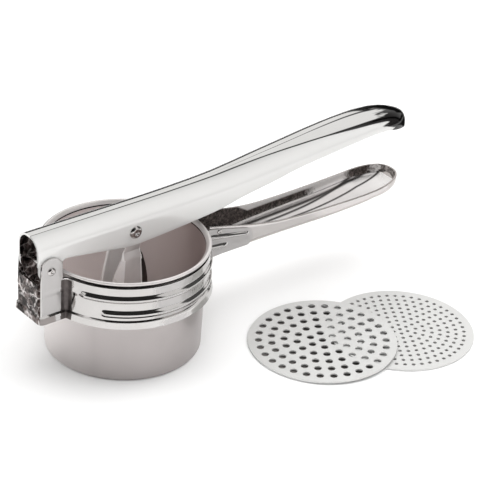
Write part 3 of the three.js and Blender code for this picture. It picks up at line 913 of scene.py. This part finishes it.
def make_rivets():
    gap = 0.02
    ear = EAR_Y + SHEET / 2 + gap
    rivet("pivot_rivet_metal", 2.3, -ear, ear, 1.6, (PIVOT.x, 0, PIVOT.z), False, "frame", "pivot_rivet")
    lever = LEVER_HALF + gap
    rivet("plunger_pin_metal", 3.7, -lever, lever, 2.2, (PIN.x, 0, PIN.z), False, "lever", "plunger_pin")
    for side, name in ((-1, "near"), (1, "far")):
        low, high = sorted((side * (TAB_Y + SHEET / 2 + gap), side * (TAB_Y - SHEET * 1.5 - 0.3 - gap)))
        rivet(
            f"handle_rivet_metal_{name}", 1.6, low, high, 1.0, (TAB_RIVET_X, 0, TAB_RIVET_Z), False,
            "frame", f"handle_rivet_{name}")
    for side, name in ((-1, "left"), (1, "right")):
        rivet(
            f"plate_rivet_metal_{name}", 3.1, PLATE_BOTTOM - 0.1, YOKE_BASE + SHEET + 0.05, 1.8,
            (side * PLATE_RIVET_X, 0, 0), True, "plunger", f"plate_rivet_{name}")


# ------------------------------------------------------------------ sieve discs
def disc_mesh(name, rings, pitch, hole):
    """A flat disc with rings of round punched holes, cut edges softened."""
    edge, half = 0.1, DISC_THICKNESS / 2
    loops = [(0.0, 0.0, DISC_RADIUS, 160, -edge)]
    for ring in range(rings + 1):
        for i in range(max(6 * ring, 1)):
            a = 2 * math.pi * i / max(6 * ring, 1)
            loops.append((ring * pitch * math.cos(a), ring * pitch * math.sin(a), hole, 20, edge))
    outline, edges, points, faces = [], [], [], []
    for x, y, radius, sides, soft in loops:
        first, corner = len(outline), len(points)
        angles = [2 * math.pi * k / sides for k in range(sides)]
        circle = [(math.cos(a), math.sin(a)) for a in angles]
        rim = ((radius + soft, half), (radius, half - edge), (radius, edge - half), (radius + soft, -half))
        outline += [Vector((x + (radius + soft) * c, y + (radius + soft) * s)) for c, s in circle]
        edges += [(first + k, first + (k + 1) % sides) for k in range(sides)]
        for c, s in circle:
            points += [(x + r * c, y + r * s, z) for r, z in rim]
        faces += [
            (corner + a, corner + b, corner + c, corner + d)
            for a, b, c, d in grid_faces(sides, 4, closed_rows=True)
        ]
    flat, _, triangles, *_ = geometry.delaunay_2d_cdt(outline, edges, [], 1, 1e-6)

    def in_hole(triangle):
        middle = sum((flat[k] for k in triangle), Vector((0, 0))) / 3
        ring = round(middle.length / pitch)
        if not 0 < ring <= rings:
            return ring == 0 and middle.length < hole
        share = math.atan2(middle.y, middle.x) / (2 * math.pi)
        turn = round(share * 6 * ring) / (6 * ring) * 2 * math.pi
        return (middle - Vector((math.cos(turn), math.sin(turn))) * ring * pitch).length < hole

    triangles = [t for t in triangles if not in_hole(t)]
    for z in (half, -half):
        first = len(points)
        points += [(v.x, v.y, z) for v in flat]
        faces += [tuple(first + k for k in t) for t in triangles]
    mesh = bpy.data.meshes.new(name)
    mesh.from_pydata([Vector(p) * MM for p in points], [], faces)
    weld_and_orient(mesh, 0.001)
    mesh.set_sharp_from_angle(angle=math.radians(30))
    return mesh


def disc_centre(node_name):
    low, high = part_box(node_name)
    return (low + high) / 2


def make_discs():
    fine_at, coarse_at = disc_centre("fine_sieve_disc"), disc_centre("coarse_sieve_disc")
    away = fine_at - coarse_at
    heading = math.atan2(away.y, away.x)
    span = math.hypot(away.x, away.y)
    rise = math.asin((DISC_THICKNESS + 0.3) * MM / span)
    flat = Matrix.Translation(fine_at)
    forward, back = Matrix.Rotation(heading, 4, "Z"), Matrix.Rotation(-heading, 4, "Z")
    leaning = Matrix.Translation(coarse_at) @ forward @ Matrix.Rotation(-rise, 4, "Y") @ back
    for name, rings, pitch, hole, spot, body, replaced in (
        ("fine_disc_metal", 8, 4.45, 1.05, flat, "fine_disc", "fine_sieve_disc"),
        ("coarse_disc_metal", 5, 7.0, 2.05, leaning, "coarse_disc", "coarse_sieve_disc"),
    ):
        mesh = disc_mesh(name, rings, pitch, hole)
        mesh.transform(spot)
        finish_piece(add_object(name, mesh), body, [replaced], SIEVE_STEEL)


# ------------------------------------------------------------------ studio
# Parts of the room that are dark: azimuths from the camera's side (right is positive),
# heights above the horizon, and how dark.
DARK_SIDES = (
    ((-57, 54), (3, 62), 0.97),
    ((91, 124), (3, 48), 0.9),
    ((-180, 180), (-2, 4), 0.95),
    ((148, 182), (-4, 17), 0.97),
    ((-182, -165), (-4, 17), 0.97),
)
CAMERA_AZIMUTH = math.radians(-40.0)
FLOOR_LEVEL = -0.0002
FLOOR_TONE = (0.95, 0.95, 0.95)


def flat_colour(name, colour, roughness):
    material = bpy.data.materials.new(name)
    material.use_nodes = True
    shader = material.node_tree.nodes["Principled BSDF"]
    shader.inputs["Base Color"].default_value = (*colour, 1)
    shader.inputs["Roughness"].default_value = roughness
    return material


def floor_material():
    """Pale all over, with painted deep shade where the sieve discs lie on it."""
    material = flat_colour("floor_white", FLOOR_TONE, 0.9)
    tree = material.node_tree
    coordinates = tree.nodes.new("ShaderNodeTexCoord").outputs["Object"]
    lit = 1.0
    for disc in ("fine_sieve_disc", "coarse_sieve_disc"):
        centre = disc_centre(disc)
        away = tree.nodes.new("ShaderNodeVectorMath")
        away.operation = "DISTANCE"
        tree.links.new(coordinates, away.inputs[0])
        away.inputs[1].default_value = (centre.x, centre.y, FLOOR_LEVEL)
        inner, outer = (DISC_RADIUS - 3.4) * MM, (DISC_RADIUS - 0.6) * MM
        beyond = map_range(tree, away.outputs["Value"], inner, outer, 0.0, 1.0)
        lit = math_node(tree, "MULTIPLY", beyond, lit)
    shade = mix(tree, lit, (0.15, 0.14, 0.135), FLOOR_TONE)
    tree.links.new(shade, tree.nodes["Principled BSDF"].inputs["Base Color"])
    return material


def lying_sheet(name, width, depth, height, material):
    """A flat rectangle in metres round the origin."""
    w, d = width / 2, depth / 2
    mesh = bpy.data.meshes.new(name)
    corners = [(-w, -d, height), (w, -d, height), (w, d, height), (-w, d, height)]
    mesh.from_pydata(corners, [], [(0, 1, 2, 3)])
    mesh.materials.append(material)
    sheet = add_object(name, mesh)
    return sheet


def light(name, centre, size, power):
    data = bpy.data.lights.new(name, "AREA")
    data.shape = "RECTANGLE"
    data.size, data.size_y = size
    data.energy = power
    obj = add_object(name, data)
    obj.location = AXIS + Vector(centre)
    aim = AXIS + Vector((0.05, 0.0, 0.04))
    obj.rotation_euler = (aim - obj.location).to_track_quat("-Z", "Y").to_euler()
    obj.visible_glossy = False


def make_studio():
    lying_sheet("floor", 6.0, 6.0, FLOOR_LEVEL, floor_material())
    make_sky()
    light("side", (0.75, -0.25, 0.9), (0.8, 0.8), 4)
    light("front", (-0.5, -1.0, 0.5), (1.2, 0.8), 7)
    light("top", (0.0, 0.2, 1.3), (1.4, 1.4), 9)
    # A dark card that only reflections see, under and behind the handles' tips.
    card = lying_sheet("card_behind_tip", 1.0, 0.5, 0.0, flat_colour("card_dark", REFLECTED_BLACK, 0.9))
    card.location = AXIS + Vector((0.434, 0.278, 0.002))
    card.rotation_euler = (0.0, 0.0, math.radians(-41.3))
    card.visible_camera = False
    card.visible_shadow = False
    card.visible_diffuse = False


def make_sky():
    """A white room with a dark side towards the camera, as bright steel mirrors it."""
    world = bpy.data.worlds.new("studio")
    bpy.context.scene.world = world
    world.use_nodes = True
    tree = world.node_tree
    turn = tree.nodes.new("ShaderNodeVectorRotate")
    turn.rotation_type = "Z_AXIS"
    turn.inputs["Angle"].default_value = -(CAMERA_AZIMUTH - math.pi / 2)
    tree.links.new(tree.nodes.new("ShaderNodeTexCoord").outputs["Generated"], turn.inputs["Vector"])
    parts = tree.nodes.new("ShaderNodeSeparateXYZ")
    tree.links.new(turn.outputs["Vector"], parts.inputs["Vector"])
    azimuth = math_node(tree, "ARCTAN2", parts.outputs["Y"], parts.outputs["X"])
    azimuth = math_node(tree, "MULTIPLY", azimuth, 180 / math.pi)
    height = math_node(tree, "MULTIPLY", math_node(tree, "ARCSINE", parts.outputs["Z"]), 180 / math.pi)
    kept = 1.0
    for (a_low, a_high), (h_low, h_high), depth in DARK_SIDES:
        across = window(tree, azimuth, a_low, a_high, 3.0)
        up = window(tree, height, h_low, h_high, 2.0)
        patch = math_node(tree, "MULTIPLY", math_node(tree, "MULTIPLY", across, up), depth)
        kept = math_node(tree, "MULTIPLY", math_node(tree, "SUBTRACT", 1.0, patch), kept)
    sky = tree.nodes["Background"]
    tree.links.new(mix(tree, kept, (0.0, 0.0, 0.0), (1.0, 0.995, 0.985)), sky.inputs["Color"])
    sky.inputs["Strength"].default_value = 1.0


# ------------------------------------------------------------------ camera
def make_camera():
    azimuth, elevation, roll = CAMERA_AZIMUTH, math.radians(29.8), math.radians(3.47)
    distance, lens = 1.0867, 144.0
    level_part = math.cos(elevation)
    back = Vector((
        math.sin(azimuth) * level_part, -math.cos(azimuth) * level_part, math.sin(elevation)))
    right = (-back).cross(Vector((0, 0, 1))).normalized()
    up = right.cross(-back)
    aim = AXIS + right * 0.0662 + up * 0.0518
    rolled_right = right * math.cos(roll) + up * math.sin(roll)
    rolled_up = up * math.cos(roll) - right * math.sin(roll)
    data = bpy.data.cameras.new("camera")
    data.lens = lens
    data.sensor_width = 36.0
    camera = add_object("camera", data)
    camera.matrix_world = Matrix((
        (rolled_right.x, rolled_up.x, back.x, aim.x + back.x * distance),
        (rolled_right.y, rolled_up.y, back.y, aim.y + back.y * distance),
        (rolled_right.z, rolled_up.z, back.z, aim.z + back.z * distance),
        (0, 0, 0, 1)))
    bpy.context.scene.camera = camera


bpy.context.scene.view_settings.view_transform = "Standard"
make_camera()
make_studio()
make_cup()
make_strap()
make_lever()
make_handle()
make_yoke()
make_plate()
make_rivets()
make_discs()

bpy.context.view_layer.update()
